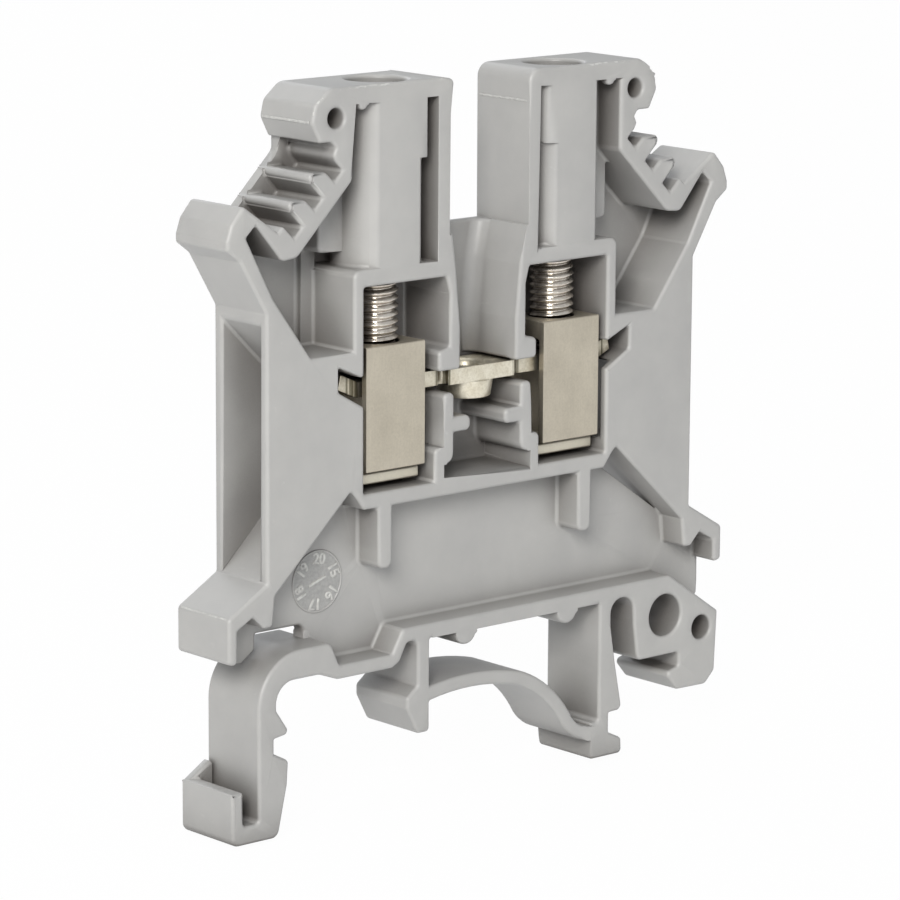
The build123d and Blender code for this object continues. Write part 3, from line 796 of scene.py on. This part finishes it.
class BLOCK_OT_dial(bpy.types.Operator):
    """Add the dial of raised figures, with its ring and pointer, that the mould leaves on the web"""

    bl_idname = "block.dial"
    bl_label = "Mould dial"

    def execute(self, context):
        sizes = context.scene.block_dial
        middle = Vector((sizes.place_x, HOUSING_BOX[0][1] + sizes.depth, sizes.place_z))
        facing = Matrix.Translation(middle) @ Matrix.Rotation(math.pi / 2, 4, "X")
        whole = bmesh.new()
        for number in FIGURES:
            self.figure(whole, facing, sizes, number)
        self.pointer(whole, facing, sizes)
        # The figures take the flash's pale colour as a painted highlight on their tops.
        self.add_piece("mould_dial", whole, "moulded_flash")
        whole = bmesh.new()
        self.ring(whole, facing, sizes)
        self.add_piece("dial_ring", whole, "moulded_polyamide")
        steps, lift = 64, 0.012 * MM
        rim = [around((0.0, 0.0), sizes.radius, math.tau * step / steps, lift) for step in range(steps)]
        ground = mesh_of("dial_ground", [facing @ Vector(spot) for spot in rim], [range(steps)])
        piece("dial_ground", ground, dial_ground(context.scene.block_finish), "housing")
        return {"FINISHED"}

    def figure(self, whole, facing, sizes, number):
        """Adds a raised figure with soft edges, its foot towards the dial's middle."""
        text = bpy.data.curves.new("figure", "FONT")
        text.body = str(number)
        text.align_x = "CENTER"
        text.align_y = "CENTER"
        text.size = sizes.figure_height * 1.4
        text.extrude = sizes.relief * 0.3
        text.bevel_depth = sizes.relief
        text.bevel_resolution = 2
        text.offset = -sizes.relief * 0.3
        text.resolution_u = 3
        figure = bpy.data.objects.new("figure", text)
        turn = Matrix.Rotation(-FIGURE_LEAN - FIGURE_STEP * (number - FIGURES[-1]), 4, "Z")
        shift = Matrix.Translation((0, sizes.radius * 0.73, 0))
        mesh = bpy.data.meshes.new_from_object(figure)
        mesh.transform(facing @ turn @ shift)
        whole.from_mesh(mesh)
        bpy.data.objects.remove(figure)
        bpy.data.meshes.remove(mesh)

    def add_piece(self, name, whole, finish):
        """Makes the shape that was built up into a piece with a material that is there already."""
        mesh = bpy.data.meshes.new(name)
        whole.to_mesh(mesh)
        whole.free()
        piece(name, mesh, bpy.data.materials[finish], "housing")

    def ring(self, whole, facing, sizes, steps=72):
        """Adds the low rounded ring round the figures."""
        profile_mm = ((-0.09, -0.02), (-0.055, 0.05), (0.0, 0.07), (0.055, 0.05), (0.09, -0.02))
        rings = []
        for step in range(steps):
            row = []
            for reach, rise in profile_mm:
                spot = around((0.0, 0.0), sizes.radius + reach * MM, math.tau * step / steps, rise * MM)
                row.append(whole.verts.new(facing @ Vector(spot)))
            rings.append(row)
        for row, after in zip(rings, rings[1:] + rings[:1]):
            for n in range(len(profile_mm) - 1):
                whole.faces.new((row[n], row[n + 1], after[n + 1], after[n])).smooth = True

    def pointer(self, whole, facing, sizes):
        """Adds the raised bar in the middle, which points to a figure."""
        turn = Matrix.Rotation(POINTER_TURN, 4, "Z")
        long, wide, rise = sizes.radius * 0.36, sizes.radius * 0.055, sizes.relief * 1.4
        section = ((-1.0, -0.2), (-0.55, 1.0), (0.55, 1.0), (1.0, -0.2))
        rows = []
        for x, half in ((-long, wide), (long * 0.92, wide), (long, wide * 0.5)):
            row = []
            for side, level in section:
                row.append(whole.verts.new(facing @ turn @ Vector((x, half * side, rise * level))))
            rows.append(row)
        for row, after in zip(rows, rows[1:]):
            for n in range(len(section) - 1):
                whole.faces.new((row[n], after[n], after[n + 1], row[n + 1]))
        whole.faces.new(rows[0])
        whole.faces.new(list(reversed(rows[-1])))


class BLOCK_OT_sleeves(bpy.types.Operator):
    """Dress the clamp sleeves and the current bar, and round their edges"""

    bl_idname = "block.sleeves"
    bl_label = "Sleeves and bar"

    def execute(self, context):
        finish = context.scene.block_finish
        sizes = context.scene.block_clamp
        sheet = plated_sheet(finish)
        for side in ("left", "right"):
            low, high = SLEEVE_BOX[side]
            corner = (low[1] + sizes.sleeve_bend, high[2] - sizes.sleeve_bend)

            def fold(place):
                """Moves the wide bend at the top of the front wall out on to the square round it."""
                reach = Vector((corner[0] - place.y, place.z - corner[1]))
                if reach.x <= 0 or reach.y <= 0:
                    return place
                reach /= max(reach.x, reach.y) / reach.length
                return Vector((place.x, corner[0] - reach.x, corner[1] + reach.y))

            name = f"{side}_clamp_sleeve"
            mesh = rounded_mesh(name, f"{side}_sleeve", sizes.metal_edge, angle=50.0, reshape=fold)
            sleeve = piece(f"{side}_sleeve", mesh, sheet, f"{side}_sleeve")
            weigh_normals(sleeve)
            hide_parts(name)
        mesh = rounded_mesh("current_bar", "bar", sizes.metal_edge * 0.7, angle=50.0, segments=2)
        bar = piece("bar", mesh, plated_bar(finish), "housing")
        weigh_normals(bar)
        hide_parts("current_bar")
        return {"FINISHED"}


class BLOCK_OT_screws(bpy.types.Operator):
    """Make the slotted clamp screws with their threads, and the thread in the bar's collar"""

    bl_idname = "block.screws"
    bl_label = "Screws and threads"

    def execute(self, context):
        scene = context.scene
        sizes = scene.block_clamp
        metal = plated_screw(scene.block_finish)
        for side in ("left", "right"):
            low, high = (Vector(corner) for corner in SCREW_BOX[side])
            centre = (low + high) / 2
            head_low = high.z - sizes.head_height
            root, tip_height, overlap = sizes.root_radius, 0.25 * MM, 0.02 * MM
            points, faces = [], []
            thread(
                points, faces, centre, low.z + tip_height, head_low, root, sizes.crest_radius, sizes.pitch,
            )
            turned = len(faces)
            tip = (
                (0.0, low.z),
                (root - 0.15 * MM, low.z),
                (root + overlap, low.z + tip_height + overlap),
            )
            lathe(points, faces, centre, tip)
            slotted_head(
                points, faces, centre, (high.x - low.x) / 2, head_low,
                high.z - sizes.slot_depth, high.z, sizes.slot_width,
            )
            mesh = mesh_of(f"{side}_screw", points, faces, range(turned))
            screw = piece(f"{side}_screw", mesh, metal, f"{side}_screw")
            bevel = screw.modifiers.new("rounded_edges", "BEVEL")
            bevel.width = 0.1 * MM
            bevel.angle_limit = math.radians(75.0)
            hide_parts(f"{side}_clamp_screw")
        points, faces = [], []
        low = BAR_BOX[0][2] + 0.1 * MM
        middle = [(least + most) / 2 for least, most in zip(*BAR_BOX)]
        root, crest = sizes.bridge_radius + 0.02 * MM, sizes.bridge_radius - 0.2 * MM
        thread(points, faces, middle, low, low + sizes.bridge_depth, root, crest, sizes.pitch)
        mesh = mesh_of("bridge_thread", points, [face[::-1] for face in faces], range(len(faces)))
        piece("bridge_thread", mesh, bpy.data.materials["plated_bar"], "housing")
        return {"FINISHED"}


class BLOCK_OT_stage(bpy.types.Operator):
    """Set up the floor, the lamps, the surrounding light and the camera"""

    bl_idname = "block.stage"
    bl_label = "Stage"

    def execute(self, context):
        scene = context.scene
        levels = scene.block_stage
        self.floor()
        warm, cool = (1.0, 0.985, 0.96), (0.95, 0.97, 1.0)
        self.lamp("key", (-0.48, -0.40, 0.33), 0.26, levels.key_power, warm)
        self.lamp("front", (-0.14, -0.66, 0.10), 0.22, levels.front_power, cool)
        self.lamp("top", (-0.10, 0.05, 0.75), 0.50, levels.top_power, cool)
        self.lamp("back", (0.15, 0.60, 0.30), 0.50, levels.back_power, cool)
        self.surroundings(levels.world_level)
        self.camera(scene)
        scene.view_settings.view_transform = "Standard"
        return {"FINISHED"}

    def floor(self):
        """Adds a wide pale floor that looks almost as white as the background."""
        finish = Finish("pale_floor")
        finish.set(Base_Color=(0.92, 0.92, 0.92, 1.0), Roughness=0.9)
        white = finish.add("ShaderNodeEmission", Color=(1.0, 1.0, 1.0, 1.0), Strength=1.0)
        plain = Shade(finish.tree, finish.surface.outputs[0])
        share = finish.white_rays(MIRRORED_FLOOR) * FLOOR_WHITE
        mixed = finish.add("ShaderNodeMixShader", _0=share, _1=plain, _2=white)
        finish.feed(finish.tree.nodes["Material Output"], "Surface", mixed)
        half, level = 3.0, -0.2 * MM
        corners = [(-half, -half, level), (half, -half, level), (half, half, level), (-half, half, level)]
        mesh = mesh_of("floor", corners, [(0, 1, 2, 3)])
        mesh.materials.append(finish.material)
        floor = bpy.data.objects.new("floor", mesh)
        bpy.context.collection.objects.link(floor)

    def lamp(self, name, place, size, watts, colour):
        """Adds a square lamp that faces the object."""
        light = bpy.data.lights.new(name, "AREA")
        light.shape = "SQUARE"
        light.size = size
        light.energy = watts
        light.color = colour
        lamp = bpy.data.objects.new(name, light)
        lamp.location = place
        lamp.rotation_mode = "QUATERNION"
        aim = Vector((0.0, 0.0, 0.02))
        lamp.rotation_quaternion = (aim - Vector(place)).to_track_quat("-Z", "Y")
        bpy.context.collection.objects.link(lamp)

    def surroundings(self, level):
        """Sets a faint cool light all round, and a white background for the camera."""
        world = bpy.data.worlds.new("studio")
        bpy.context.scene.world = world
        world.use_nodes = True
        sky = Nodes(world.node_tree)
        background = world.node_tree.nodes["Background"]
        white = sky.white_rays(MIRRORED_SKY)
        cool, pure = (0.93, 0.96, 1.0, 1.0), (1.0, 1.0, 1.0, 1.0)
        sky.feed(background, "Color", sky.blend(white, cool, pure))
        sky.feed(background, "Strength", level + white * (1.0 - level))

    def camera(self, scene):
        """Adds the camera of the photograph's view."""
        data = bpy.data.cameras.new("photo_view")
        data.lens = CAMERA_LENS
        data.sensor_width = 36.0
        data.shift_x, data.shift_y = CAMERA_SHIFT
        data.clip_start = 0.01
        camera = bpy.data.objects.new("photo_view", data)
        turn = (
            Matrix.Rotation(CAMERA_AZIMUTH, 4, "Z")
            @ Matrix.Rotation(math.pi / 2 - CAMERA_ELEVATION, 4, "X")
            @ Matrix.Rotation(CAMERA_ROLL, 4, "Z")
        )
        camera.matrix_world = Matrix.Translation(Vector(CAMERA_PLACE_MM) * MM) @ turn
        bpy.context.collection.objects.link(camera)
        scene.camera = camera


class BLOCK_PT_panel(bpy.types.Panel):
    """Lists the pieces in the sidebar"""

    bl_idname = "BLOCK_PT_panel"
    bl_label = "Terminal Block"
    bl_space_type = "VIEW_3D"
    bl_region_type = "UI"
    bl_category = "Terminal Block"

    def draw(self, context):
        for operator in OPERATORS:
            self.layout.operator(operator.bl_idname)
        for name in GROUPS:
            group = getattr(context.scene, name)
            for key in group.__annotations__:
                self.layout.prop(group, key)


OPERATORS = (
    BLOCK_OT_housing,
    BLOCK_OT_seams,
    BLOCK_OT_lips,
    BLOCK_OT_dial,
    BLOCK_OT_sleeves,
    BLOCK_OT_screws,
    BLOCK_OT_stage,
)
GROUPS = {
    "block_finish": FinishSizes,
    "block_housing": HousingSizes,
    "block_dial": DialSizes,
    "block_clamp": ClampSizes,
    "block_stage": StageSizes,
}


def register():
    for group in GROUPS.values():
        bpy.utils.register_class(group)
    for name, group in GROUPS.items():
        setattr(bpy.types.Scene, name, bpy.props.PointerProperty(type=group))
    for operator in OPERATORS:
        bpy.utils.register_class(operator)
    bpy.utils.register_class(BLOCK_PT_panel)


def unregister():
    bpy.utils.unregister_class(BLOCK_PT_panel)
    for operator in reversed(OPERATORS):
        bpy.utils.unregister_class(operator)
    for name, group in GROUPS.items():
        delattr(bpy.types.Scene, name)
        bpy.utils.unregister_class(group)


def main():
    register()
    bpy.ops.block.housing()
    bpy.ops.block.seams()
    bpy.ops.block.lips()
    bpy.ops.block.dial()
    bpy.ops.block.sleeves()
    bpy.ops.block.screws()
    bpy.ops.block.stage()


if __name__ == "__main__":
    main()
